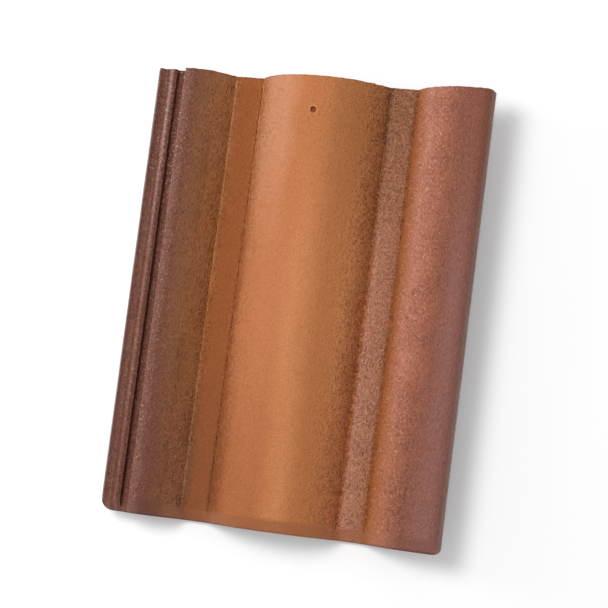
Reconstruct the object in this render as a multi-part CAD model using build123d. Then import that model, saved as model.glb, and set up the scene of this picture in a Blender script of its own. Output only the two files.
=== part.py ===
from build123d import *
import math
import os

# One interlocking roof tile with two rolls and a covering roll, moulded in one piece.
# Its section runs straight from the nose (low end on the roof) to the head (ridge end).
# The section is drawn with x = 0 at the foot of the middle roll and z = 0 on the pans' top face.
# All driving dimensions are in mm.

tile_length = 420.0

# Rolls and pans
roll_pitch = 150.0
pan_width = 26.0
middle_roll_height = 35.0
cover_roll_height = 32.5
cover_crest_reach = 58.0       # from the cover roll's foot to its crest
cover_edge_reach = 75.0        # from the cover roll's foot to the covering edge
cover_shoulder_radius = 9.0
pan_thickness = 12.0
roll_thickness = 11.0
underside_inset = 1.5          # the hollows start this much inside the roll's foot
crease_radius = 1.0

# Lap roll, the half roll that the neighbour's covering edge meets
lap_roll_height = 25.2
lap_crown_radius = 50.0
lap_crest_inset = 5.5          # from the wall's arris to the crest
lap_flank_angle = 51.0
lap_shoulder_radius = 12.0
lap_arris_radius = 2.0
lap_wall_lean = 4.5            # the wall leans back this much over its height
lap_wall_thickness = 7.0

# Side lock under the neighbour's covering edge: two ribs and a water channel
side_gap = 0.5                 # from the neighbour's covering edge to the foot of the wall
channel_width = 7.2
channel_floor_height = 9.0
lock_floor_thickness = 10.0
inner_rib_height = 14.5
inner_rib_width = 11.8
inner_rib_crest_inset = 4.5
inner_rib_shoulder_drop = 1.0  # from its crest to the channel's edge
outer_rib_height = 15.0
outer_rib_width = 11.5
outer_rib_crest_inset = 6.5    # from the tile's left side
lock_groove_height = 10.0
lock_side_height = 2.0         # the upright left side, above the lock's underside
rib_crest_radius = 1.6

# Drip rib under the covering edge, which stands in the neighbour's channel
drip_rib_width = 6.0
drip_rib_clearance = 1.0       # above the channel's floor

# Nose: the top face rolls down over a narrow band, and the creases die out in it
nose_band = 13.0
nose_round_length = 2.5
nose_round_drop = 0.9
nose_lip_length = 2.0
nose_lip_drop = 3.0
nose_slope_drop = 7.0
nose_crease_radius = 16.0
left_corner_radius = 9.0
right_corner_radius = 7.0

# Weather bars across the underside at the nose, which rest on the tile below
bar_count = 3
bar_width = 8.0
bar_pitch = 19.0
bar_depth = 4.0
bar_run_in = 2.0               # the bars start this much inside the lap roll's hollow

# Hanging nibs under the pans at the head
nib_width = 24.0
nib_depth = 12.0
nib_foot_length = 11.0
nib_back_slope = 7.0
nib_from_head = 23.0           # from the head to the face that bears on the batten
nib_edge_radius = 1.5

# Nail hole through the crest of the middle roll
nail_hole_diameter = 5.0
nail_hole_from_head = 33.0

# Places worked out from the sizes above
middle_foot = 0.0
middle_end = roll_pitch - pan_width
cover_foot = roll_pitch
lap_end = -pan_width
middle_crest = (middle_foot + middle_end) / 2
cover_crest = cover_foot + cover_crest_reach
cover_edge = cover_foot + cover_edge_reach
lap_wall_foot = cover_edge - 2 * roll_pitch + side_gap
lap_arris = lap_wall_foot + lap_wall_lean
lap_crest = lap_arris + lap_crest_inset
channel_left = lap_wall_foot - channel_width
rib_groove = channel_left - inner_rib_width
lock_side = rib_groove - outer_rib_width
tile_width = cover_edge - lock_side    # 330 mm: a cover width of 300 mm and the lap under the next tile
pan_underside = -pan_thickness
lock_underside = channel_floor_height - lock_floor_thickness
drip_rib_bottom = channel_floor_height + drip_rib_clearance
drip_rib_inner = cover_edge - drip_rib_width
lap_step = pan_thickness + bar_depth
nib_face = tile_length - nib_from_head
inside = 0.5                   # how far a piece that is added runs into the shell
bar_cover = 6.0                # how far the weather bars run up into the shell
cutter_margin = 30.0           # how far a cutter stands out past the tile
cutter_top = 80.0


def chord_radius(half_chord, rise):
    """The radius of an arc from its half chord and its rise."""
    return (half_chord**2 + rise**2) / (2 * rise)


def crown_meets_slope(center_x, center_z, radius, foot_x, foot_z, angle):
    """Where a slope that climbs to the left from its foot meets a crown's circle."""
    along_x, along_z = -math.cos(math.radians(angle)), math.sin(math.radians(angle))
    gap_x, gap_z = foot_x - center_x, foot_z - center_z
    half_b = along_x * gap_x + along_z * gap_z
    run = -half_b + math.sqrt(half_b**2 - gap_x**2 - gap_z**2 + radius**2)
    return (foot_x + run * along_x, foot_z + run * along_z)


def on_arc(center_x, center_z, radius, x):
    """A point of a crown's circle above x."""
    return (x, center_z + math.sqrt(radius**2 - (x - center_x) ** 2))


# Circles of the three crowns, top and underside
middle_radius = chord_radius((middle_end - middle_foot) / 2, middle_roll_height)
cover_radius = chord_radius(cover_crest_reach, cover_roll_height)
cover_center = (cover_crest, cover_roll_height - cover_radius)
lap_center = (lap_crest, lap_roll_height - lap_crown_radius)

hollow_foot = middle_foot + underside_inset
hollow_end = middle_end - underside_inset
cover_hollow_foot = cover_foot + underside_inset
lap_hollow_end = lap_end - underside_inset
cover_hollow_crest = cover_roll_height - roll_thickness
cover_hollow_radius = chord_radius(cover_crest - cover_hollow_foot, cover_hollow_crest - pan_underside)
cover_hollow_center = (cover_crest, cover_hollow_crest - cover_hollow_radius)
lap_hollow_radius = lap_crown_radius - roll_thickness

# Points of the section's top line, from the lap roll to the covering edge
arris_point = on_arc(*lap_center, lap_crown_radius, lap_arris)
shoulder_point = crown_meets_slope(*lap_center, lap_crown_radius, lap_end, 0, lap_flank_angle)
cover_edge_point = on_arc(*cover_center, cover_radius, cover_edge)


def top_line(drop=0.0):
    """The tile's top line from the lap roll's arris to the covering edge, lowered by drop."""

    def at(point):
        return (point[0], point[1] - drop)

    lap_mid = on_arc(*lap_center, lap_crown_radius, (arris_point[0] + shoulder_point[0]) / 2)
    cover_mid = on_arc(*cover_center, cover_radius, (cover_foot + cover_edge) / 2)
    return [
        ThreePointArc(at(arris_point), at(lap_mid), at(shoulder_point)),
        Line(at(shoulder_point), at((lap_end, 0))),
        Line(at((lap_end, 0)), at((middle_foot, 0))),
        ThreePointArc(
            at((middle_foot, 0)), at((middle_crest, middle_roll_height)), at((middle_end, 0))
        ),
        Line(at((middle_end, 0)), at((cover_foot, 0))),
        ThreePointArc(at((cover_foot, 0)), at(cover_mid), at(cover_edge_point)),
    ]


def lock_points():
    """The side lock's top line, from the tile's left side to the foot of the lap wall."""
    return [
        (lock_side, lock_underside + lock_side_height),
        (lock_side + outer_rib_crest_inset, outer_rib_height),
        (rib_groove, lock_groove_height),
        (channel_left - inner_rib_crest_inset, inner_rib_height),
        (channel_left, inner_rib_height - inner_rib_shoulder_drop),
        (channel_left, channel_floor_height),
        (lap_wall_foot, channel_floor_height),
        arris_point,
    ]


def underside_line():
    """The underside, from the covering edge back to the tile's left side."""
    rib_top = on_arc(*cover_hollow_center, cover_hollow_radius, drip_rib_inner)
    cover_mid = on_arc(
        *cover_hollow_center, cover_hollow_radius, (drip_rib_inner + cover_hollow_foot) / 2
    )
    lap_crown_end = crown_meets_slope(
        *lap_center, lap_hollow_radius, lap_hollow_end, pan_underside, lap_flank_angle
    )
    wall_top = on_arc(*lap_center, lap_hollow_radius, lap_wall_foot + lap_wall_lean + lap_wall_thickness)
    wall_foot = (lap_wall_foot + lap_wall_thickness, lock_underside)
    lap_mid = on_arc(*lap_center, lap_hollow_radius, (wall_top[0] + lap_crown_end[0]) / 2)
    return [
        Line(cover_edge_point, (cover_edge, drip_rib_bottom)),
        Line((cover_edge, drip_rib_bottom), (drip_rib_inner, drip_rib_bottom)),
        Line((drip_rib_inner, drip_rib_bottom), rib_top),
        ThreePointArc(rib_top, cover_mid, (cover_hollow_foot, pan_underside)),
        Line((cover_hollow_foot, pan_underside), (hollow_end, pan_underside)),
        ThreePointArc(
            (hollow_end, pan_underside),
            (middle_crest, middle_roll_height - roll_thickness),
            (hollow_foot, pan_underside),
        ),
        Line((hollow_foot, pan_underside), (lap_hollow_end, pan_underside)),
        Line((lap_hollow_end, pan_underside), lap_crown_end),
        ThreePointArc(lap_crown_end, lap_mid, wall_top),
        Line(wall_top, wall_foot),
        Line(wall_foot, (lock_side, lock_underside)),
        Line((lock_side, lock_underside), lock_points()[0]),
    ]


def rounded(face, rounds):
    """Round a face's corners; rounds is a list of (point, radius)."""
    for point, radius in rounds:
        corner = min(face.vertices(), key=lambda v: math.hypot(v.X - point[0], v.Y - point[1]))
        face = fillet(corner, radius)
    return face


def section():
    """The tile's section, with its creases and arrises rounded."""
    lock = lock_points()
    lock_edges = [Line(a, b) for a, b in zip(lock, lock[1:])]
    face = make_face(Curve() + lock_edges + top_line() + underside_line())
    return rounded(
        face,
        [
            (cover_edge_point, cover_shoulder_radius),
            (shoulder_point, lap_shoulder_radius),
            (arris_point, lap_arris_radius),
            (lock[1], rib_crest_radius),
            (lock[2], rib_crest_radius),
            (lock[3], rib_crest_radius),
            ((lap_end, 0), crease_radius),
            ((middle_foot, 0), crease_radius),
            ((middle_end, 0), crease_radius),
            ((cover_foot, 0), crease_radius),
        ],
    )


def on_section_plane(face, y=0.0):
    """Stand a face drawn in the section's own plane upright at y."""
    return (Plane(origin=(0, y, 0), x_dir=(1, 0, 0), z_dir=(0, -1, 0)) * face).face()


def along_tile(face, start, end):
    """Run a section's face along the tile from start to end."""
    return Solid.extrude(on_section_plane(face, start), Vector(0, end - start, 0))


def nose_cutters():
    """What is taken off above the nose: three slopes that follow the rolls with soft creases."""
    left, right = lock_side - cutter_margin, cover_edge + cutter_margin
    envelope = [
        (left, outer_rib_height),
        (channel_left, outer_rib_height),
        arris_point,
    ]
    edges = [Line(a, b) for a, b in zip(envelope, envelope[1:])] + top_line()
    ending = [cover_edge_point, (right, cover_edge_point[1] - cutter_margin)]
    ending += [(right, cutter_top), (left, cutter_top), envelope[0]]
    edges += [Line(a, b) for a, b in zip(ending, ending[1:])]
    face = rounded(
        make_face(Curve() + edges),
        [
            ((lap_end, 0), nose_crease_radius),
            ((middle_foot, 0), nose_crease_radius),
            ((middle_end, 0), nose_crease_radius),
            ((cover_foot, 0), nose_crease_radius),
            (shoulder_point, lap_shoulder_radius),
        ],
    )
    steps = [(nose_band, 0.0)]
    steps.append((nose_band - nose_round_length, nose_round_drop))
    steps.append((nose_lip_length, nose_round_drop + nose_slope_drop))
    steps.append((0.0, nose_round_drop + nose_slope_drop + nose_lip_drop))
    cutters = []
    for (y_start, drop_start), (y_end, drop_end) in zip(steps, steps[1:]):
        slope = (drop_end - drop_start) / (y_start - y_end)
        back = y_start + cutter_margin / 2
        lifted = Pos(0, 0, slope * cutter_margin / 2 - drop_start) * on_section_plane(face, back)
        run = back + cutter_margin / 2
        cutters.append(Solid.extrude(lifted, Vector(0, -run, -slope * run)))
    return cutters


def weather_bars():
    """Bars across the underside that follow the top line of the tile below."""
    upper, lower = top_line(bar_cover), top_line(lap_step)
    sides = [
        Line(upper[0] @ 0, lower[0] @ 0),
        Line(upper[-1] @ 1, lower[-1] @ 1),
    ]
    band = make_face(Curve() + upper + lower + sides)
    left = lap_wall_foot + lap_wall_lean + lap_wall_thickness - bar_run_in
    right = drip_rib_inner + inside
    bars = []
    for number in range(bar_count):
        start = number * bar_pitch
        window = Pos((left + right) / 2, start + bar_width / 2, 0)
        window *= Box(right - left, bar_width, 4 * tile_length)
        bars.append(along_tile(band, start, start + bar_width) & window)
    return bars


def lying_drop(y):
    """How far the plane that the tile lies on is below the pans' top face."""
    slope = (pan_thickness + nib_depth - lap_step) / nib_face
    return lap_step + slope * y


def nibs():
    """Two nibs under the pans; their feet lie in the plane that the tile lies on."""
    foot_end = nib_face + nib_foot_length
    back_end = foot_end + nib_back_slope
    side = [
        (nib_face, pan_underside + inside),
        (nib_face, -lying_drop(nib_face)),
        (foot_end, -lying_drop(foot_end)),
        (back_end, pan_underside),
        (back_end, pan_underside + inside),
    ]
    profile = (Plane.YZ * make_face(Polyline(*side, close=True))).face()
    pieces = []
    for middle in ((lap_end + middle_foot) / 2, (middle_end + cover_foot) / 2):
        nib = Solid.extrude(Pos(middle - nib_width / 2, 0, 0) * profile, Vector(nib_width, 0, 0))
        uprights = nib.edges().filter_by(Axis.Z)
        pieces.append(fillet(uprights, nib_edge_radius))
    return pieces


def plan_prism():
    """The tile's plan outline, with its rounded nose corners, as a tall prism."""
    outline = Rectangle(tile_width, tile_length, align=(Align.MIN, Align.MIN))
    outline = rounded(outline, [((0, 0), left_corner_radius), ((tile_width, 0), right_corner_radius)])
    return Pos(lock_side, 0, -tile_length / 2) * extrude(outline, tile_length)


def nail_hole():
    """The nail hole, upright to the tile's face through the middle roll's crest."""
    return Pos(middle_crest, tile_length - nail_hole_from_head, 0) * Cylinder(
        nail_hole_diameter / 2, 4 * middle_roll_height
    )


def lie_down(solid):
    """Set the tile down on its nibs and its nose, with the middle of its box over the origin."""
    pitch = math.degrees(math.atan2(lying_drop(nib_face) - lap_step, nib_face))
    solid = Rot(pitch, 0, 0) * solid
    box = solid.bounding_box()
    return Pos(-box.center().X, -box.center().Y, -box.min.Z) * solid


def roof_tile():
    """The whole tile in one solid."""
    tile = along_tile(section(), 0, tile_length)
    for piece in weather_bars() + nibs():
        tile = tile + piece
    for cutter in nose_cutters():
        tile = tile - cutter
    tile = (tile & plan_prism()) - nail_hole()
    return lie_down(tile)


def main():
    os.makedirs("parts", exist_ok=True)
    export_step(roof_tile(), "parts/roof_tile.step")


main()
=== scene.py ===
import math

import bpy
from mathutils import Matrix, Vector


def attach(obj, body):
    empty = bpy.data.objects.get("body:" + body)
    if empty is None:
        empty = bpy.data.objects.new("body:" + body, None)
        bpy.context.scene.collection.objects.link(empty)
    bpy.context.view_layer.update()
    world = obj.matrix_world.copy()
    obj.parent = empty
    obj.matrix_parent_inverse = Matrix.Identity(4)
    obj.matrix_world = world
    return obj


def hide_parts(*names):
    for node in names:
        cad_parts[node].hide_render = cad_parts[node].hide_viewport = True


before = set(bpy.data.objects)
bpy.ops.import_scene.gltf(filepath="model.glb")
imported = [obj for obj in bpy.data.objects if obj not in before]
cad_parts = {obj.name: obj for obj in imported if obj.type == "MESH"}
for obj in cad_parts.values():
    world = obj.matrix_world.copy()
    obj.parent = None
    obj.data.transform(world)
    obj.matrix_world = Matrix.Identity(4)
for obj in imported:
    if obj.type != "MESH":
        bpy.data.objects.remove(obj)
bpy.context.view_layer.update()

mm = 0.001

# The tile is drawn lying level: x = 0 at the middle roll's foot, y = 0 at the nose, z = 0 on the pans.
# At the end it is pitched and set down, so that it stands where the CAD solid does.


def objectMode():
    if bpy.context.object and bpy.context.object.mode != "OBJECT":
        bpy.ops.object.mode_set(mode="OBJECT")


def pick(*objects):
    objectMode()
    bpy.ops.object.select_all(action="DESELECT")
    for each in objects:
        each.select_set(True)
    bpy.context.view_layer.objects.active = objects[0]


def editAll(selectMode="VERT"):
    bpy.ops.object.mode_set(mode="EDIT")
    bpy.ops.mesh.select_mode(type=selectMode)
    bpy.ops.mesh.select_all(action="SELECT")


def arcSpin(start, end, bow, axis):
    # centre, swept angle and radius of the arc that bows out to the left on its way from start to end
    chord = end - start
    left = chord.cross(axis).normalized()
    half = chord.length / 2
    radius = (half * half + bow * bow) / (2 * bow)
    centre = (start + end) / 2 - left * (radius - bow)
    return centre, -4 * math.atan(bow / half), abs(radius)


def drawOutline(name, points, across, up, step, at=(0, 0, 0)):
    # points are (across, up, bow) in mm, bow being how far the edge to the next point bows out
    axis = Vector(up).cross(Vector(across))
    places = [Vector(across) * u * mm + Vector(up) * v * mm + Vector(at) * mm for u, v, bow in points]
    bpy.ops.mesh.primitive_plane_add(size=mm, location=(0, 0, 0))
    outline = bpy.context.object
    outline.name = name
    editAll()
    bpy.ops.mesh.merge(type="CENTER")
    bpy.ops.transform.translate(value=places[0])
    for i, (u, v, bow) in enumerate(points):
        start, end = places[i], places[(i + 1) % len(points)]
        if abs(bow) < 0.001:
            pieces = max(1, round((end - start).length / (step * mm)))
            for _ in range(pieces):
                bpy.ops.mesh.extrude_vertices_move(
                    TRANSFORM_OT_translate={"value": (end - start) / pieces}
                )
        else:
            centre, angle, radius = arcSpin(start, end, bow * mm, axis)
            pieces = max(4, round(radius * abs(angle) / (step * mm)))
            bpy.ops.mesh.spin(steps=pieces, angle=angle, center=centre, axis=axis)
    bpy.ops.mesh.select_all(action="SELECT")
    bpy.ops.mesh.remove_doubles(threshold=0.02 * mm)
    bpy.ops.mesh.edge_face_add()
    return outline


def extrudeOutline(outline, run):
    # from a closed outline in edit mode to a solid
    bpy.ops.mesh.extrude_region_move(TRANSFORM_OT_translate={"value": Vector(run) * mm})
    bpy.ops.mesh.select_all(action="SELECT")
    bpy.ops.mesh.normals_make_consistent(inside=False)
    bpy.ops.object.mode_set(mode="OBJECT")
    return outline


def cutOrJoin(body, tool, how):
    pick(body)
    cut = body.modifiers.new("cut", "BOOLEAN")
    cut.object = tool
    cut.operation = how
    cut.solver = "EXACT"
    bpy.ops.object.modifier_apply(modifier=cut.name)
    bpy.data.objects.remove(tool)


tileBody = {
    "length": 420,
    "left": -105,            # the side lock's edge
    "right": 225,            # the covering edge
    "profileStep": 2.4,      # spacing of the points along the section
    "rowStep": 3.0,          # spacing of the rows along the tile
    "noseRowStep": 1.3,
    "noseBand": 13,
    "doubles": 0.01,         # points nearer than this are merged
}

# The section, clockwise from the left side's top: x, z and how far the edge to the next point bows out.
sectionPoints = [
    (-105.000, 1.000, 0), (-105.000, -1.000, 0), (-67.500, -1.000, 0), (-63.000, 14.171, 1.2854),
    (-44.003, 8.379, 0), (-27.500, -12.000, 0), (1.500, -12.000, 36.0), (122.500, -12.000, 0),
    (151.500, -12.000, 12.0239), (219.000, 20.554, 0), (219.000, 10.000, 0), (225.000, 10.000, 0),
    (225.000, 22.955, -2.2183), (217.220, 31.872, -10.9238), (150.291, 0.471, 0.1256),
    (149.442, 0.000, 0), (124.562, 0.000, 0.1273), (123.710, 0.477, -34.5233),
    (0.290, 0.477, 0.1273), (-0.562, 0.000, 0), (-25.523, 0.000, 0.0974), (-26.300, 0.371, 0),
    (-40.375, 17.752, -0.3585), (-45.027, 21.252, -1.4473), (-68.612, 25.031, -0.3565),
    (-70.372, 23.582, 0), (-74.500, 9.000, 0), (-81.700, 9.000, 0), (-81.700, 13.500, 0),
    (-85.566, 14.359, -0.1174), (-86.753, 14.159, 0), (-92.423, 10.664, 0.3448),
    (-94.394, 10.894, 0), (-96.881, 13.381, -0.6834), (-99.464, 12.924, 0),
]

xAxis, yAxis, zAxis = (1, 0, 0), (0, 1, 0), (0, 0, 1)
tile = drawOutline("roofTile", sectionPoints, xAxis, zAxis, tileBody["profileStep"])
extrudeOutline(tile, (0, tileBody["length"], 0))
print("section drawn:", len(tile.data.vertices), "points")


weatherBars = {
    "places": [0, 19, 38],   # from the nose
    "width": 8,
    "over": 16,              # their undersides are this much below the tile's top
    "under": 6,              # and their tops, inside the shell, this much
}

# From the lap roll's hollow to the drip rib: along the inside of the shell and back along the top's
# shape, lowered onto the tile below.
barTop = [
    (-65.000, 25.198, 1.3971), (-42.127, 19.915, 0), (-26.000, 0.000, 0), (0.000, 0.000, 35.0),
    (124.000, 0.000, 0), (150.000, 0.000, 11.7145), (219.500, 31.521, 0),
]


def barOutline():
    upper = [(x, z - weatherBars["under"], bow) for x, z, bow in barTop]
    bows = [bow for x, z, bow in barTop[:-1]][::-1] + [0]
    lower = [(x, z - weatherBars["over"], -bow) for (x, z, _), bow in zip(barTop[::-1], bows)]
    return upper + lower


for place in weatherBars["places"]:
    bar = drawOutline(
        "weatherBar", barOutline(), xAxis, zAxis, tileBody["profileStep"], at=(0, place, 0)
    )
    extrudeOutline(bar, (0, weatherBars["width"], 0))
    cutOrJoin(tile, bar, "UNION")
print("weather bars joined")


nibs = {
    "middles": [-13, 137],
    "width": 24,
    "side": [(397, -11.5, 0), (397, -24.0, 0), (408, -24.222, 0), (415, -12.0, 0), (415, -11.5, 0)],
    "step": 100,             # no points between the corners
    "rounding": 1.5,
    "roundingSteps": 4,
}

for middle in nibs["middles"]:
    left = middle - nibs["width"] / 2
    nib = drawOutline("nib", nibs["side"], yAxis, zAxis, nibs["step"], at=(left, 0, 0))
    extrudeOutline(nib, (nibs["width"], 0, 0))
    pick(nib)
    bpy.ops.object.mode_set(mode="EDIT")
    bpy.ops.mesh.select_all(action="DESELECT")
    bpy.ops.object.mode_set(mode="OBJECT")
    for edge in nib.data.edges:       # the upright ones
        one, two = (nib.data.vertices[i].co for i in edge.vertices)
        edge.select = abs(one.y - two.y) < 0.1 * mm and abs(one.z - two.z) > 5 * mm
    bpy.ops.object.mode_set(mode="EDIT")
    bpy.ops.mesh.select_mode(type="EDGE")
    bpy.ops.mesh.bevel(offset=nibs["rounding"] * mm, segments=nibs["roundingSteps"], affect="EDGES")
    bpy.ops.object.mode_set(mode="OBJECT")
    cutOrJoin(tile, nib, "UNION")
print("nibs joined")


nose = {
    "steps": [(13, 0.0), (10.5, 0.9), (2, 7.9), (0, 10.9)],   # from the nose, and the top's drop there
    "overrun": 15,
    "cornerRadii": (12, 7),                                   # left, right
    "cornerLeans": (0.35, 0),                                 # how far each cut leans in as it rises
    "cornerStep": 1.6,
    "cornerMargin": 5,                                        # how far they stand out past the edges
    "cornerReach": 100,                                       # how far the cuts run up and down
}

# The cutters' underside follows the rolls across the tile, with soft creases: x, z and bow as above.
noseLine = [
    (-135.000, 15.000, 0), (-81.700, 15.000, 0), (-70.000, 24.897, 1.6185), (-45.027, 21.252, 0.3585),
    (-40.375, 17.752, 0), (-30.803, 5.931, -1.5586), (-18.368, 0.000, 0), (-8.456, 0.000, -1.6707),
    (4.294, 6.334, 28.6662), (119.706, 6.334, -1.6707), (132.456, 0.000, 0), (141.637, 0.000, -1.6306),
    (154.277, 6.190, 11.1859), (225.000, 30.341, 0), (255.000, 0.341, 0), (255.000, 80.000, 0),
    (-135.000, 80.000, 0),
]

for (startY, startDrop), (endY, endDrop) in zip(nose["steps"], nose["steps"][1:]):
    slope = (endDrop - startDrop) / (startY - endY)
    back = startY + nose["overrun"]
    run = back + nose["overrun"]
    rise = slope * nose["overrun"] - startDrop
    cutter = drawOutline(
        "noseCutter", noseLine, xAxis, zAxis, 2 * tileBody["profileStep"], at=(0, back, rise)
    )
    extrudeOutline(cutter, (0, -run, -slope * run))
    cutOrJoin(tile, cutter, "DIFFERENCE")

bowShare = 1 - math.sqrt(0.5)        # an arc of a quarter turn bows out by this share of its radius


def cornerPoints(edge, radius, inward):
    # what a cutter takes off a corner: inward is 1 where the tile lies to the right of the edge
    outside = nose["cornerMargin"]
    return [
        (edge - inward * outside, -outside, 0),
        (edge - inward * outside, radius, 0),
        (edge, radius, -inward * bowShare * radius),
        (edge + inward * radius, 0, 0),
        (edge + inward * radius, -outside, 0),
    ]


leftRadius, rightRadius = nose["cornerRadii"]
leftLean, rightLean = nose["cornerLeans"]
for edge, radius, inward, lean in (
    (tileBody["left"], leftRadius, 1, leftLean),
    (tileBody["right"], rightRadius, -1, rightLean),
):
    reach = nose["cornerReach"]
    corner = drawOutline(
        "cornerCutter",
        cornerPoints(edge, radius, inward),
        xAxis,
        yAxis,
        nose["cornerStep"],
        at=(-reach * lean, 0, -reach),
    )
    extrudeOutline(corner, (2 * reach * lean, 0, 2 * reach))
    cutOrJoin(tile, corner, "DIFFERENCE")
print("nose cut")


nailHole = {
    "x": 62,
    "fromHead": 33,
    "top": 35,
    "depth": 11,
    "radius": 2.1,
    "mouthRadius": 2.8,      # where the punch went in
    "mouthDepth": 2.2,
    "overrun": 2,            # how far the hole's cut stands out above and below
    "mouthOverrun": 1,
    "sides": 40,
}


def punch(radiusBelow, radiusAbove, depth, over):
    # a round cut down from the crest, standing out past it by over
    taper = (radiusAbove - radiusBelow) / depth
    bpy.ops.mesh.primitive_cone_add(
        vertices=nailHole["sides"],
        radius1=radiusBelow * mm,
        radius2=(radiusAbove + taper * over) * mm,
        depth=(depth + over) * mm,
        location=(
            nailHole["x"] * mm,
            (tileBody["length"] - nailHole["fromHead"]) * mm,
            (nailHole["top"] + (over - depth) / 2) * mm,
        ),
    )
    cutOrJoin(tile, bpy.context.object, "DIFFERENCE")


pick(tile)
holeDepth = nailHole["depth"] + nailHole["overrun"]
mouthFoot = nailHole["radius"] - 0.1
punch(nailHole["radius"], nailHole["radius"], holeDepth, nailHole["overrun"])
punch(mouthFoot, nailHole["mouthRadius"], nailHole["mouthDepth"], nailHole["mouthOverrun"])
print("nail hole cut")


def rowPlaces():
    y = tileBody["noseRowStep"]
    while y < tileBody["length"] - 0.5:
        yield y
        y += tileBody["noseRowStep"] if y < tileBody["noseBand"] else tileBody["rowStep"]


pick(tile)
editAll("FACE")
for y in rowPlaces():
    bpy.ops.mesh.select_all(action="SELECT")
    bpy.ops.mesh.bisect(plane_co=(0, y * mm, 0), plane_no=yAxis)
bpy.ops.mesh.select_all(action="SELECT")
bpy.ops.mesh.remove_doubles(threshold=tileBody["doubles"] * mm)
bpy.ops.object.mode_set(mode="OBJECT")
print("rows cut:", len(tile.data.polygons), "faces")


# Ranges are given by where they start, where they are full, where they end being full and where they end.
relief = {
    "waveSize": 48,                             # slow unevenness all over
    "waveDepth": 0.35,
    "wrinkleSize": 5.5,                         # hammered skin on the flanks away from the light
    "wrinkleDepth": 0.7,
    "wrinkledFlanks": [(-47, -38, -29, -24), (92, 106, 121, 127)],
    "wrinkledElsewhere": 0.25,                  # as a share of the depth on the flanks
    "wrinkledAlong": (6, 18, 425, 430),
    "raggedSize": 4,                            # edge left by the knife at the head
    "raggedDepth": 0.9,
    "raggedAlong": (417.5, 419.9, 425, 430),
}


def weightGroup(name, weightOf):
    group = tile.vertex_groups.new(name=name)
    for vertex in tile.data.vertices:
        weight = weightOf(vertex.co / mm)
        if weight > 0:
            group.add([vertex.index], min(1, weight), "REPLACE")
    return group.name


def between(value, start, full, fullEnd, end):
    # 0 outside start and end, 1 from full to fullEnd, sloping in between
    return max(0, min((value - start) / (full - start), 1, (end - value) / (end - fullEnd)))


def wrinkleWeight(place):
    if place.z < -3:        # the underside
        return 0
    flanks = [between(place.x, *flank) for flank in relief["wrinkledFlanks"]]
    return max(*flanks, relief["wrinkledElsewhere"]) * between(place.y, *relief["wrinkledAlong"])


def raggedWeight(place):
    return between(place.y, *relief["raggedAlong"])


def pressIn(name, size, depth, group=None, direction="NORMAL"):
    pattern = bpy.data.textures.new(name, "CLOUDS")
    pattern.noise_scale = size * mm
    press = tile.modifiers.new(name, "DISPLACE")
    press.texture = pattern
    press.texture_coords = "LOCAL"
    press.mid_level = 1 if direction == "NORMAL" else 0
    press.strength = depth * mm * (1 if direction == "NORMAL" else -1)
    press.direction = direction
    if group:
        press.vertex_group = group
    bpy.ops.object.modifier_apply(modifier=press.name)


pick(tile)
pressIn("waves", relief["waveSize"], relief["waveDepth"])
flanks = weightGroup("flanks", wrinkleWeight)
pressIn("wrinkles", relief["wrinkleSize"], relief["wrinkleDepth"], flanks)
headEdge = weightGroup("headEdge", raggedWeight)
pressIn("ragged", relief["raggedSize"], relief["raggedDepth"], headEdge, "Y")
print("relief pressed in")


coatReach = {
    "slopes": (-0.15, 0.1, 2, 3),    # the coat runs round to faces that look down this little
    "overSides": 0.35,               # how much of the upright sides it covers
    "sawnFromHead": 4.5,             # the sawn face and the nibs are bare
    "nibsFromHead": 30,
    "nibsBelow": -11,
    "barsBehind": 20,                # the weather bars, as low as the nibs, are nearer to the nose
}


def coatWeight(normal, place):
    if place.z < coatReach["nibsBelow"] - 0.4 and place.y > coatReach["barsBehind"]:
        return 0.0
    overSides = place.x < tileBody["left"] + 0.1 or place.x > tileBody["right"] - 0.1
    if overSides and abs(normal.z) < 0.5:
        return coatReach["overSides"]
    return between(normal.z, *coatReach["slopes"])


def isSawn(normal, place):
    fromHead = tileBody["length"] - place.y
    onHead = fromHead < coatReach["sawnFromHead"] and normal.y > 0.6
    onNib = fromHead < coatReach["nibsFromHead"] and place.z < coatReach["nibsBelow"]
    return onHead or onNib


pick(tile)
coat = tile.data.attributes.new("coat", "FLOAT", "POINT")
for vertex in tile.data.vertices:
    coat.data[vertex.index].value = coatWeight(vertex.normal, vertex.co / mm)
sawn = tile.data.attributes.new("sawn", "FLOAT", "FACE")
for face in tile.data.polygons:
    sawn.data[face.index].value = 1.0 if isSawn(face.normal, face.center / mm) else 0.0


lying = {
    "pitch": 1.154418661,
    "shift": (-60, -209.8355, 15.9968),
    "creaseAngle": 38,       # edges sharper than this stay sharp
}

editAll("FACE")
bpy.ops.mesh.quads_convert_to_tris(quad_method="BEAUTY", ngon_method="BEAUTY")
bpy.ops.object.mode_set(mode="OBJECT")
tile.rotation_euler = (math.radians(lying["pitch"]), 0, 0)
tile.location = Vector(lying["shift"]) * mm
bpy.ops.object.transform_apply(location=True, rotation=True, scale=True)
bpy.ops.object.shade_smooth_by_angle(angle=math.radians(lying["creaseAngle"]))
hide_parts("roof_tile")
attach(tile, "root")
print("tile set down:", len(tile.data.polygons), "triangles")


def addNode(tree, kind, inputs=None, **settings):
    made = tree.nodes.new(kind)
    for name, value in settings.items():
        setattr(made, name, value)
    for name, value in (inputs or {}).items():
        socket = made.inputs[name]
        if isinstance(value, bpy.types.NodeSocket):
            tree.links.new(value, socket)
        else:
            socket.default_value = value
    return made


def maths(tree, operation, one, two=0.0):
    return addNode(tree, "ShaderNodeMath", {0: one, 1: two}, operation=operation).outputs[0]


def mixColors(tree, share, one, two, blend="MIX"):
    inputs = {0: share, 6: one, 7: two}
    return addNode(tree, "ShaderNodeMix", inputs, data_type="RGBA", blend_type=blend).outputs[2]


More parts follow.
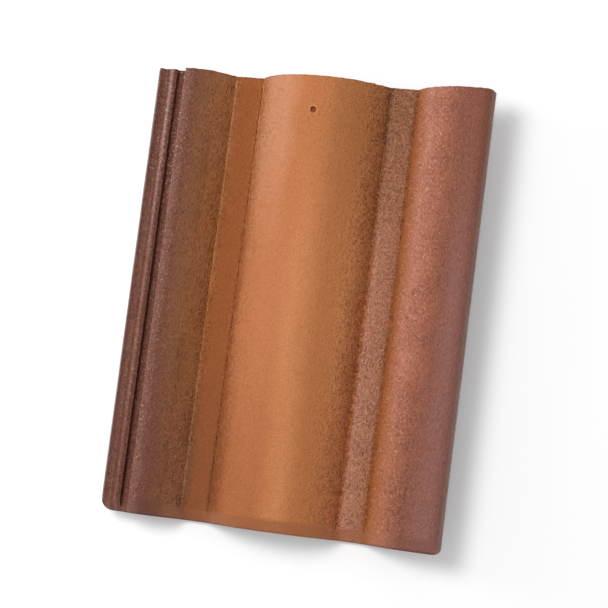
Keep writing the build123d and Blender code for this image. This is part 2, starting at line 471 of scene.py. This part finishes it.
def spread(tree, value, low, high, toLow=0.0, toHigh=1.0):
    # from low to high the result goes smoothly from toLow to toHigh, and stays there beyond
    inputs = {0: value, 1: low, 2: high, 3: toLow, 4: toHigh}
    return addNode(tree, "ShaderNodeMapRange", inputs, interpolation_type="SMOOTHSTEP").outputs[0]


def farFrom(tree, place, middle):
    return maths(tree, "ABSOLUTE", maths(tree, "SUBTRACT", place, middle))


def lineAt(tree, place, middle, width):
    # 1 on a line that runs along the tile, fading out to both sides
    return spread(tree, farFrom(tree, place, middle), width / 2, 0.0)


def noise(tree, place, size, detail):
    inputs = {"Vector": place, "Scale": 1 / size, "Detail": detail}
    return addNode(tree, "ShaderNodeTexNoise", inputs).outputs[0]


def ramp(tree, value, stops):
    made = addNode(tree, "ShaderNodeValToRGB", {0: value})
    elements = made.color_ramp.elements
    while len(elements) < len(stops):
        elements.new(1.0)
    for element, (place, color) in zip(elements, stops):
        element.position = place
        element.color = (*color, 1)
    return made.outputs[0]


def newGroup(name, inputs, outputs):
    group = bpy.data.node_groups.new(name, "ShaderNodeTree")
    for label, kind, value in inputs:
        socket = group.interface.new_socket(label, in_out="INPUT", socket_type=kind)
        if value is not None:
            socket.default_value = value
    for label, kind in outputs:
        group.interface.new_socket(label, in_out="OUTPUT", socket_type=kind)
    return group, group.nodes.new("NodeGroupInput"), group.nodes.new("NodeGroupOutput")


def useGroup(tree, group, inputs):
    return addNode(tree, "ShaderNodeGroup", inputs, node_tree=group)


# The wrinkled skin that the wet coat dried to: winding folds, 0 in the furrows and 1 on the ridges.
coatSkin = {
    "windingRate": 0.7,          # as a share of the folds' own frequency
    "winding": (2.2, 2.2, 2.2),
    "ridgeWidth": 0.16,
    "ridgeShare": 0.6,           # the rest of the height is lumps
    "glintRate": 1.3,
    "glintsChosen": (0.52, 0.66),
}


def coatSkinGroup():
    group, given, result = newGroup(
        "coatSkin",
        [("Vector", "NodeSocketVector", None), ("Size", "NodeSocketFloat", 3.0)],
        [("Height", "NodeSocketFloat"), ("Glints", "NodeSocketFloat")],
    )
    place = given.outputs["Vector"]
    scale = maths(group, "DIVIDE", 1.0, given.outputs["Size"])
    bendScale = maths(group, "MULTIPLY", scale, coatSkin["windingRate"])
    bend = addNode(group, "ShaderNodeTexNoise", {"Vector": place, "Scale": bendScale}).outputs["Color"]
    bendBy = {0: bend, 1: coatSkin["winding"], 2: place}
    bent = addNode(group, "ShaderNodeVectorMath", bendBy, operation="MULTIPLY_ADD").outputs[0]
    wave = addNode(group, "ShaderNodeTexNoise", {"Vector": bent, "Scale": scale, "Detail": 2.0}).outputs[0]
    ridges = spread(group, farFrom(group, wave, 0.5), coatSkin["ridgeWidth"], 0.0)
    ridgePart = maths(group, "MULTIPLY", ridges, coatSkin["ridgeShare"])
    lumpPart = maths(group, "MULTIPLY", spread(group, wave, 0.3, 0.7), 1 - coatSkin["ridgeShare"])
    group.links.new(maths(group, "ADD", ridgePart, lumpPart), result.inputs["Height"])
    # the sharpest bits of some ridges catch the light
    glintScale = maths(group, "MULTIPLY", scale, coatSkin["glintRate"])
    choice = addNode(group, "ShaderNodeTexNoise", {"Vector": place, "Scale": glintScale}).outputs[0]
    chosen = spread(group, choice, *coatSkin["glintsChosen"])
    glints = maths(group, "MULTIPLY", spread(group, ridges, 0.6, 1.0), chosen)
    group.links.new(glints, result.inputs["Glints"])
    return group


tileFinish = {
    "grainSize": 1.1,             # sizes and depths in mm
    "grainDepth": 1.0,
    "skinSize": 2.0,
    "skinDepth": 1.0,
    "foldSize": 3.0,
    "foldDepth": 1.5,
    "skinStretch": 0.75,          # the wrinkles run along the tile
    "skinTurn": 0.35,
    "grainShade": 0.05,           # how much painted shade darkens the furrows and how much painted highlight lightens the ridges
    "skinShade": 0.09,
    "foldShade": 0.11,
    "glintShade": 0.45,
    "blotchSize": 30,
    "blotchPush": 3.0,            # how far the blotches push the tones aside
    "coatRoughness": 0.44,
    "glintRoughness": 0.28,
    "bareRoughness": 0.85,
    "shineLevel": 0.2,
}

# The tones that the coat was flashed with; the paler ones at the left edge, on the rib tops and along the
# middle roll's crest are painted highlight.
tones = {
    # pale left edge: painted highlight on the lock's lit arris
    "rimGrey": (0.34, 0.28, 0.26),
    "edgeDark": (0.10, 0.028, 0.018),
    "umber": (0.138, 0.041, 0.023),
    "ribShade": (0.19, 0.065, 0.042),
    "lapGrey": (0.24, 0.096, 0.063),
    # paler rib tops and arris: painted highlight
    "ribHighlight": (0.31, 0.13, 0.092),
    "ribTopHighlight": (0.44, 0.23, 0.19),
    "lapViolet": (0.17, 0.052, 0.038),
    "lapBrown": (0.175, 0.055, 0.029),
    "lapOlive": (0.215, 0.075, 0.029),
    "honeyShade": (0.255, 0.091, 0.036),
    "duskOchre": (0.335, 0.124, 0.060),
    "ochre": (0.40, 0.155, 0.056),
    "caramel": (0.37, 0.126, 0.038),
    "rust": (0.285, 0.083, 0.024),
    "brightRust": (0.335, 0.093, 0.019),
    "amberShade": (0.335, 0.092, 0.026),
    "amber": (0.44, 0.137, 0.042),
    "clearAmber": (0.53, 0.178, 0.055),
    "warmAmber": (0.55, 0.186, 0.067),
    # where it lies on the middle roll's crest, this tone is a painted highlight
    "glowAmber": (0.63, 0.235, 0.084),
    "paleAmber": (0.455, 0.160, 0.050),
    "peach": (0.625, 0.257, 0.128),
    "flame": (0.43, 0.122, 0.035),
    "cinnamon": (0.58, 0.24, 0.145),
    "duskCinnamon": (0.46, 0.178, 0.095),
    "darkCinnamon": (0.36, 0.138, 0.065),
    "blush": (0.56, 0.208, 0.132),
    "rose": (0.48, 0.160, 0.077),
    "duskRose": (0.38, 0.122, 0.069),
    "burgundy": (0.265, 0.085, 0.048),
    "mauve": (0.295, 0.115, 0.088),
}

# Where each tone lies, in mm from the middle roll's foot: at the nose, half way up and at the head.
noseLayout = [
    (-105, "rimGrey"), (-99, "edgeDark"), (-95, "ribHighlight"), (-91, "umber"), (-87, "lapGrey"), (-84, "umber"),
    (-77, "ribShade"), (-71, "lapGrey"), (-66, "lapGrey"), (-60, "lapViolet"), (-51, "lapBrown"),
    (-44, "lapOlive"), (-38, "duskOchre"), (-29, "duskOchre"), (-24, "lapOlive"), (-17, "rust"), (3, "rust"),
    (13, "amberShade"), (22, "amber"), (52, "amber"), (62, "clearAmber"), (75, "glowAmber"),
    (89, "clearAmber"), (118, "warmAmber"), (125.5, "flame"), (128, "cinnamon"), (145.5, "duskCinnamon"),
    (150, "brightRust"), (156, "amber"), (167, "rose"), (190, "burgundy"), (210, "mauve"),
]
middleLayout = [
    (-105, "rimGrey"), (-99, "edgeDark"), (-95, "ribHighlight"), (-91, "umber"), (-87, "ribHighlight"), (-84, "umber"),
    (-77, "ribShade"), (-72, "lapGrey"), (-67, "lapGrey"), (-60, "lapBrown"), (-52, "lapOlive"),
    (-44, "honeyShade"), (-38, "ochre"), (-29, "caramel"), (-20, "brightRust"), (-3, "brightRust"),
    (3, "flame"), (11, "warmAmber"), (50, "warmAmber"), (66, "glowAmber"), (92, "clearAmber"),
    (110, "glowAmber"), (118, "warmAmber"), (125.5, "flame"), (128, "cinnamon"), (146.5, "duskCinnamon"),
    (150.5, "amberShade"), (157, "amber"), (169, "blush"), (187, "duskRose"), (200, "burgundy"),
    (210, "mauve"),
]
headLayout = [
    (-105, "rimGrey"), (-98, "umber"), (-94, "lapGrey"), (-90, "umber"), (-87, "ribTopHighlight"), (-84, "umber"),
    (-77, "ribShade"), (-73, "ribHighlight"), (-67, "lapGrey"), (-60, "lapBrown"), (-52, "lapOlive"),
    (-44, "honeyShade"), (-38, "ochre"), (-26, "caramel"), (-18, "brightRust"), (-3, "brightRust"),
    (3, "clearAmber"), (14, "peach"), (36, "peach"), (50, "clearAmber"), (75, "clearAmber"),
    (86, "paleAmber"), (120, "paleAmber"), (125, "honeyShade"), (127.5, "darkCinnamon"),
    (147, "darkCinnamon"), (149.5, "rust"), (153, "flame"), (160, "rose"), (168, "blush"),
    (190, "duskRose"), (201, "burgundy"),
]

# How strongly the coat is wrinkled across the tile, finely and in broad folds, and how much it glints.
skinStrengths = [
    (-105, 0.9), (-66, 0.8), (-58, 0.5), (-40, 0.4), (-24, 0.6), (-18, 0.3), (-6, 0.25), (5, 0.5), (12, 0.45),
    (30, 0.3), (50, 0.25), (100, 0.3), (120, 0.55), (128, 0.95), (148, 0.95), (156, 0.8), (190, 0.75),
    (200, 0.45), (225, 0.4),
]
foldStrengths = [
    (-105, 0.0), (-66, 0.2), (-50, 0.15), (-43, 0.35), (-33, 0.6), (-28, 0.75), (-24, 0.4), (-18, 0.0),
    (-4, 0.0), (-1, 0.7), (3, 0.9), (9, 0.6), (18, 0.3), (36, 0.1), (70, 0.05), (92, 0.05), (104, 0.2),
    (113, 0.7), (124, 1.0), (129, 0.6), (150, 0.5), (160, 0.3), (190, 0.25), (205, 0.1), (225, 0.1),
]
glintStrengths = [
    (-105, 0.8), (-92, 0.5), (-87, 1.0), (-83, 0.6), (-72, 1.0), (-62, 0.9), (-53, 0.2), (-10, 0.1), (3, 0.4),
    (30, 0.15), (120, 0.15), (127, 0.5), (150, 0.5), (160, 1.0), (178, 1.0), (190, 0.5), (225, 0.3),
]


flashing = {
    "lockKeeps": (-72.0, -50.0),            # the side lock's tones aren't pushed
    "pan": 137.0,
    "panKeeps": (14.0, 32.0, 0.15, 1.0),    # and the second pan's hardly
    "noseToMiddle": (20.0, 205.0),
    "middleToHead": (215.0, 400.0),
    "noseBand": (13.5, 9.0),                # the coat is evener over the nose's band
    "noseMiddle": 70.0,
    "noseReach": (115.0, 70.0),
    "noseShare": 0.6,
}

# wear and dirt on the coat, with painted shade in the creases, at the edges and in the nail hole, and painted
# highlight on the arrises and the hole's lip
coatWearAndPaintedLight = {
    # where the creases lie, how wide they are and how much dirt and painted shade they hold
    "creases": [(-0.4, 2.4, 1.0), (149.4, 1.8, 0.6), (124.2, 2.6, 0.4), (-28.4, 2.6, 0.25)],
    "creaseWinding": 0.6,
    "dirtAndShadeTint": (0.52, 0.42, 0.32, 1),
    # where the arrises lie and how wide, from where on their painted highlight grows, and how strong it is
    # before and after
    "arrises": [(-26.2, 2.2, 120.0, 1.0, 1.0), (-70.4, 2.4, 120.0, 0.5, 1.6), (1.2, 2.2, 150.0, 0.25, 0.9)],
    "highlightTint": (1.8, 2.2, 2.8, 1),
    "knockedHeights": (15.5, 12.5),         # on the covering edge's side, above the pans' top plane
    "knockedTone": (0.58, 0.50, 0.44, 1),
    "paintedShadeTint": (0.50, 0.36, 0.30, 1),   # painted shade along the head's edge, on the nose's lip and in the nail hole
    "shadeInHole": (3.0, 2.3),
    "shadeAtHead": (417.0, 419.5, 0.0, 0.5),
    "shadeAtNose": (2.2, 0.6),
    "holeLipHighlight": (3.6, 1.8),
}

# Bare, sandy body where the coat ends.
bareTones = [(0.3, (0.16, 0.10, 0.075)), (0.55, (0.27, 0.185, 0.145)), (0.75, (0.38, 0.29, 0.24))]

tileWidth = tileBody["right"] - tileBody["left"]


def acrossStops(layout):
    # tones by name, or plain strengths as greys
    return [
        ((x - tileBody["left"]) / tileWidth, tones[tone] if tone in tones else (tone,) * 3)
        for x, tone in layout
    ]


def tilePlaces(tree):
    # where a point lies on the tile, in mm as it was drawn, and how far across as a share of its width
    objectPlace = addNode(tree, "ShaderNodeTexCoord").outputs["Object"]
    back = {
        "Vector": objectPlace,
        "Location": [-each for each in lying["shift"]],
        "Scale": (1 / mm, 1 / mm, 1 / mm),
    }
    inMm = addNode(tree, "ShaderNodeMapping", back).outputs[0]
    x, y, z = addNode(tree, "ShaderNodeSeparateXYZ", {0: inMm}).outputs
    pitchRise = maths(tree, "MULTIPLY", y, math.tan(math.radians(lying["pitch"])))
    return {
        "all": inMm,
        "x": x,
        "y": y,
        "height": maths(tree, "SUBTRACT", z, pitchRise),
        "across": maths(tree, "DIVIDE", maths(tree, "ADD", x, -tileBody["left"]), tileWidth),
    }


def coatPatterns(tree, inMm):
    turned = {
        "Vector": inMm,
        "Scale": (1, tileFinish["skinStretch"], 1),
        "Rotation": (0, 0, tileFinish["skinTurn"]),
    }
    alongSkin = addNode(tree, "ShaderNodeMapping", turned).outputs[0]
    skinGroup = coatSkinGroup()
    fine = useGroup(tree, skinGroup, {"Vector": alongSkin, "Size": tileFinish["skinSize"]})
    broad = useGroup(tree, skinGroup, {"Vector": alongSkin, "Size": tileFinish["foldSize"]})
    return {
        "grain": noise(tree, inMm, tileFinish["grainSize"], 2.0),
        "skin": fine.outputs["Height"],
        "glints": fine.outputs["Glints"],
        "folds": broad.outputs["Height"],
        "blotches": noise(tree, inMm, tileFinish["blotchSize"], 4.0),
    }


def flashedTone(tree, place, pattern):
    # tones across the tile, pushed sideways a little by the blotches
    x, y = place["x"], place["y"]
    fromPan = farFrom(tree, x, flashing["pan"])
    fromLock = spread(tree, x, *flashing["lockKeeps"])
    loose = maths(tree, "MULTIPLY", fromLock, spread(tree, fromPan, *flashing["panKeeps"]))
    most = tileFinish["blotchPush"]
    push = maths(tree, "MULTIPLY", spread(tree, pattern["blotches"], 0.2, 0.8, -most, most), loose)
    pushed = maths(tree, "ADD", place["across"], maths(tree, "DIVIDE", push, tileWidth))
    noseTone, middleTone, headTone = (
        ramp(tree, pushed, acrossStops(layout)) for layout in (noseLayout, middleLayout, headLayout)
    )
    tone = mixColors(tree, spread(tree, y, *flashing["noseToMiddle"]), noseTone, middleTone)
    tone = mixColors(tree, spread(tree, y, *flashing["middleToHead"]), tone, headTone)
    inside = spread(tree, farFrom(tree, x, flashing["noseMiddle"]), *flashing["noseReach"])
    onNose = maths(tree, "MULTIPLY", spread(tree, y, *flashing["noseBand"]), inside)
    even = maths(tree, "MULTIPLY", onNose, flashing["noseShare"])
    return mixColors(tree, even, tone, (*tones["amber"], 1))


def creaseDirtAndShade(tree, tone, place, pattern):
    # creases are darkened, partly by dirt held in them and partly by painted shade
    wind = coatWearAndPaintedLight["creaseWinding"]
    winding = maths(tree, "ADD", place["x"], spread(tree, pattern["folds"], 0.1, 0.9, -wind, wind))
    crease = 0.0
    for middle, width, share in coatWearAndPaintedLight["creases"]:
        line = maths(tree, "MULTIPLY", lineAt(tree, winding, middle, width), share)
        crease = maths(tree, "MAXIMUM", crease, line)
    dirtAndShade = maths(tree, "MULTIPLY", crease, spread(tree, pattern["blotches"], 0.35, 0.6, 0.55, 1.0))
    dirtAndShade = maths(tree, "MULTIPLY", dirtAndShade, spread(tree, place["y"], 6.0, 16.0))
    return mixColors(tree, dirtAndShade, tone, mixColors(tree, 1.0, tone, coatWearAndPaintedLight["dirtAndShadeTint"], "MULTIPLY"))


def arrisHighlightShare(tree, place, pattern):
    # painted highlight along the arrises, most at the head
    y = place["y"]
    arrisLight = 0.0
    for middle, width, start, before, after in coatWearAndPaintedLight["arrises"]:
        share = spread(tree, y, start, 400.0, before, after)
        line = maths(tree, "MULTIPLY", lineAt(tree, place["x"], middle, width), share)
        arrisLight = maths(tree, "MAXIMUM", arrisLight, line)
    arrisLight = maths(tree, "MULTIPLY", arrisLight, spread(tree, pattern["grain"], 0.35, 0.6, 0.5, 1.0))
    arrisLight = maths(tree, "MULTIPLY", arrisLight, spread(tree, y, 0.0, tileBody["length"], 0.65, 1.0))
    return maths(tree, "MULTIPLY", arrisLight, spread(tree, y, 8.0, 20.0))


def knockedShare(tree, place, pattern):
    # the coat is knocked off along the covering edge's lower arris
    right = tileBody["right"]
    onEdge = spread(tree, place["x"], right - 1.0, right - 0.4)
    knocked = maths(tree, "MULTIPLY", spread(tree, place["height"], *coatWearAndPaintedLight["knockedHeights"]), onEdge)
    return maths(tree, "MULTIPLY", knocked, spread(tree, pattern["grain"], 0.38, 0.6, 0.2, 1.0))


def paintedLightAtEdgesAndHole(tree, tone, highlightTone, place, pattern):
    # painted shade along the head's edge, on the nose's lip and in the nail hole; the hole's own lip is
    # lighter, partly chipped coat and partly painted highlight
    holePlace = (nailHole["x"], tileBody["length"] - nailHole["fromHead"], 0)
    flatten = {0: place["all"], 1: (1, 1, 0)}
    flat = addNode(tree, "ShaderNodeVectorMath", flatten, operation="MULTIPLY").outputs[0]
    measure = {0: flat, 1: holePlace}
    fromHole = addNode(tree, "ShaderNodeVectorMath", measure, operation="DISTANCE").outputs["Value"]
    inHole = spread(tree, fromHole, *coatWearAndPaintedLight["shadeInHole"])
    shadedShare = maths(tree, "MAXIMUM", inHole, spread(tree, place["y"], *coatWearAndPaintedLight["shadeAtHead"]))
    lipShare = spread(tree, farFrom(tree, place["x"], 75.0), 40.0, 80.0, 0.4, 1.0)
    onLip = maths(tree, "MULTIPLY", spread(tree, place["y"], *coatWearAndPaintedLight["shadeAtNose"]), lipShare)
    shadedShare = maths(tree, "MAXIMUM", shadedShare, onLip)
    deep = mixColors(tree, 1.0, tone, coatWearAndPaintedLight["paintedShadeTint"], "MULTIPLY")
    tone = mixColors(tree, shadedShare, tone, deep)
    speckle = spread(tree, pattern["grain"], 0.4, 0.55, 0.1, 0.6)
    holeLipHighlight = maths(tree, "MULTIPLY", lineAt(tree, fromHole, *coatWearAndPaintedLight["holeLipHighlight"]), speckle)
    return mixColors(tree, holeLipHighlight, tone, highlightTone)


def furrowShade(tree, height, low, high, depth):
    return spread(tree, height, low, high, depth, -depth)


def tileMaterial():
    material = bpy.data.materials.new("flashedTileCoat")
    material.use_nodes = True
    tree = material.node_tree
    tree.nodes.clear()
    output = tree.nodes.new("ShaderNodeOutputMaterial")
    surface = addNode(tree, "ShaderNodeBsdfPrincipled", {"Specular IOR Level": tileFinish["shineLevel"]})
    tree.links.new(surface.outputs[0], output.inputs[0])

    place = tilePlaces(tree)
    pattern = coatPatterns(tree, place["all"])
    x, y = place["x"], place["y"]
    grain, blotches = pattern["grain"], pattern["blotches"]

    # dirt and painted shade in the creases
    tone = creaseDirtAndShade(tree, flashedTone(tree, place, pattern), place, pattern)
    # a paler copy of the tone: painted highlight for the arrises and the nail hole's lip
    highlightTone = mixColors(tree, 1.0, tone, coatWearAndPaintedLight["highlightTint"], "MULTIPLY")
    tone = mixColors(tree, arrisHighlightShare(tree, place, pattern), tone, highlightTone)
    knocked = knockedShare(tree, place, pattern)
    tone = mixColors(tree, knocked, tone, coatWearAndPaintedLight["knockedTone"])
    # painted shade at the head's edge, on the nose's lip and in the nail hole, and a lighter hole lip
    tone = paintedLightAtEdgesAndHole(tree, tone, highlightTone, place, pattern)

    # painted shade deepens the colour in furrows and pits, and painted highlight makes ridges, single grains
    # and glints paler
    patches = spread(tree, blotches, 0.35, 0.65, 0.85, 1.15)
    calm = maths(tree, "MULTIPLY", patches, spread(tree, y, 8.0, 16.0, 0.3, 1.0))
    skinRamp, foldRamp, glintRamp = (
        ramp(tree, place["across"], acrossStops(strengths))
        for strengths in (skinStrengths, foldStrengths, glintStrengths)
    )
    wrinkled = maths(tree, "MULTIPLY", skinRamp, calm)
    folded = maths(tree, "MULTIPLY", foldRamp, calm)
    glinting = maths(tree, "MULTIPLY", pattern["glints"], glintRamp)
    lockSide = maths(tree, "MULTIPLY", spread(tree, x, -68.0, -74.0), spread(tree, y, 150.0, 400.0))
    glinting = maths(tree, "MULTIPLY", glinting, maths(tree, "ADD", lockSide, 1.0))
    fineShade = furrowShade(tree, pattern["skin"], 0.15, 0.85, tileFinish["skinShade"])
    broadShade = furrowShade(tree, pattern["folds"], 0.15, 0.85, tileFinish["foldShade"])
    shade = furrowShade(tree, grain, 0.3, 0.7, tileFinish["grainShade"])
    shade = maths(tree, "ADD", shade, maths(tree, "MULTIPLY", fineShade, wrinkled))
    shade = maths(tree, "ADD", shade, maths(tree, "MULTIPLY", broadShade, folded))
    shade = maths(tree, "SUBTRACT", shade, maths(tree, "MULTIPLY", glinting, tileFinish["glintShade"]))
    tone = addNode(tree, "ShaderNodeGamma", {0: tone, 1: maths(tree, "ADD", shade, 1.0)}).outputs[0]

    coatCover = addNode(tree, "ShaderNodeAttribute", attribute_name="coat").outputs["Fac"]
    sawnShare = addNode(tree, "ShaderNodeAttribute", attribute_name="sawn").outputs["Fac"]
    uneven = maths(tree, "ADD", coatCover, spread(tree, blotches, 0.3, 0.7, -0.2, 0.2))
    unsawn = maths(tree, "SUBTRACT", 1.0, sawnShare)
    cover = maths(tree, "MULTIPLY", spread(tree, uneven, 0.35, 0.65), unsawn)
    cover = maths(tree, "MAXIMUM", cover, knocked)
    bare = ramp(tree, grain, bareTones)
    tree.links.new(mixColors(tree, cover, bare, tone), surface.inputs["Base Color"])

    satin = spread(tree, glinting, 0.0, 1.0, tileFinish["coatRoughness"], tileFinish["glintRoughness"])
    mixed = {0: cover, 2: tileFinish["bareRoughness"], 3: satin}
    tree.links.new(addNode(tree, "ShaderNodeMix", mixed).outputs[0], surface.inputs["Roughness"])

    normal = None
    for height, share, depth in (
        (pattern["folds"], folded, tileFinish["foldDepth"]),
        (pattern["skin"], wrinkled, tileFinish["skinDepth"]),
        (grain, 1.0, tileFinish["grainDepth"]),
    ):
        given = {"Height": maths(tree, "MULTIPLY", height, share), "Distance": depth * mm}
        if normal:
            given["Normal"] = normal
        normal = addNode(tree, "ShaderNodeBump", given).outputs[0]
    tree.links.new(normal, surface.inputs["Normal"])
    return material


tile.data.materials.clear()
tile.data.materials.append(tileMaterial())
print("finish made")


studio = {
    "floorSize": 8,
    "floorColor": (0.86, 0.86, 0.86, 1),
    "floorLift": 0.22,        # brings the floor that the camera sees up to white
    "roomLight": 0.45,
    "lamps": {
        "key": {"at": (-0.66, 0.5, 2.0), "size": 1.0, "power": 27},
        "side": {"at": (-1.7, 0.3, 0.75), "size": 0.6, "power": 6},
    },
}


def seenDirectly(tree):
    # 1 where the camera looks, straight or in a reflection
    rays = addNode(tree, "ShaderNodeLightPath").outputs
    straight = maths(tree, "MAXIMUM", rays["Is Camera Ray"], rays["Is Glossy Ray"])
    return maths(tree, "MAXIMUM", straight, rays["Is Transmission Ray"])


def floorMaterial():
    material = bpy.data.materials.new("paleFloor")
    material.use_nodes = True
    tree = material.node_tree
    tree.nodes.clear()
    output = tree.nodes.new("ShaderNodeOutputMaterial")
    matt = addNode(tree, "ShaderNodeBsdfDiffuse", {"Color": studio["floorColor"]})
    liftStrength = maths(tree, "MULTIPLY", seenDirectly(tree), studio["floorLift"])
    lift = addNode(tree, "ShaderNodeEmission", {"Strength": liftStrength})
    both = addNode(tree, "ShaderNodeAddShader", {0: matt.outputs[0], 1: lift.outputs[0]})
    tree.links.new(both.outputs[0], output.inputs[0])
    return material


objectMode()
bpy.ops.object.select_all(action="DESELECT")
bpy.ops.mesh.primitive_plane_add(size=studio["floorSize"], location=(0, 0, 0))
floor = bpy.context.object
floor.name = "floor"
floor.data.materials.append(floorMaterial())

world = bpy.data.worlds.new("softRoom")
bpy.context.scene.world = world
world.use_nodes = True
tree = world.node_tree
tree.nodes.clear()
roomLight = addNode(tree, "ShaderNodeBackground", {"Color": (1, 1, 1, 1), "Strength": studio["roomLight"]})
white = addNode(tree, "ShaderNodeBackground", {"Color": (1, 1, 1, 1), "Strength": 1.0})
lights = {0: seenDirectly(tree), 1: roomLight.outputs[0], 2: white.outputs[0]}
either = addNode(tree, "ShaderNodeMixShader", lights)
skyOut = tree.nodes.new("ShaderNodeOutputWorld")
tree.links.new(either.outputs[0], skyOut.inputs[0])

def addLamp(name, at, size, power):
    bpy.ops.object.light_add(type="AREA", location=at)
    lamp = bpy.context.object
    lamp.name = name
    lamp.data.size = size
    lamp.data.energy = power
    lamp.rotation_euler = (-Vector(at)).to_track_quat("-Z", "Y").to_euler()


for name, values in studio["lamps"].items():
    addLamp(name, **values)

photoCamera = {
    "at": (0.53914, -0.18538, 1.84450),
    "right": (0.95510, 0.13240, -0.26506),
    "down": (0.10050, -0.98634, -0.13055),
    "lens": 122.46,
    "sensor": 36,
}

bpy.ops.object.camera_add()
camera = bpy.context.object
camera.data.sensor_width = photoCamera["sensor"]
camera.data.lens = photoCamera["lens"]
camera.data.clip_start = 0.01
camera.data.clip_end = 50
rightWay = Vector(photoCamera["right"]).normalized()
upWay = -Vector(photoCamera["down"]).normalized()
camera.matrix_world = Matrix.Translation(photoCamera["at"]) @ Matrix(
    (rightWay, upWay, rightWay.cross(upWay))
).transposed().to_4x4()
bpy.context.scene.camera = camera
bpy.context.scene.view_settings.view_transform = "Standard"
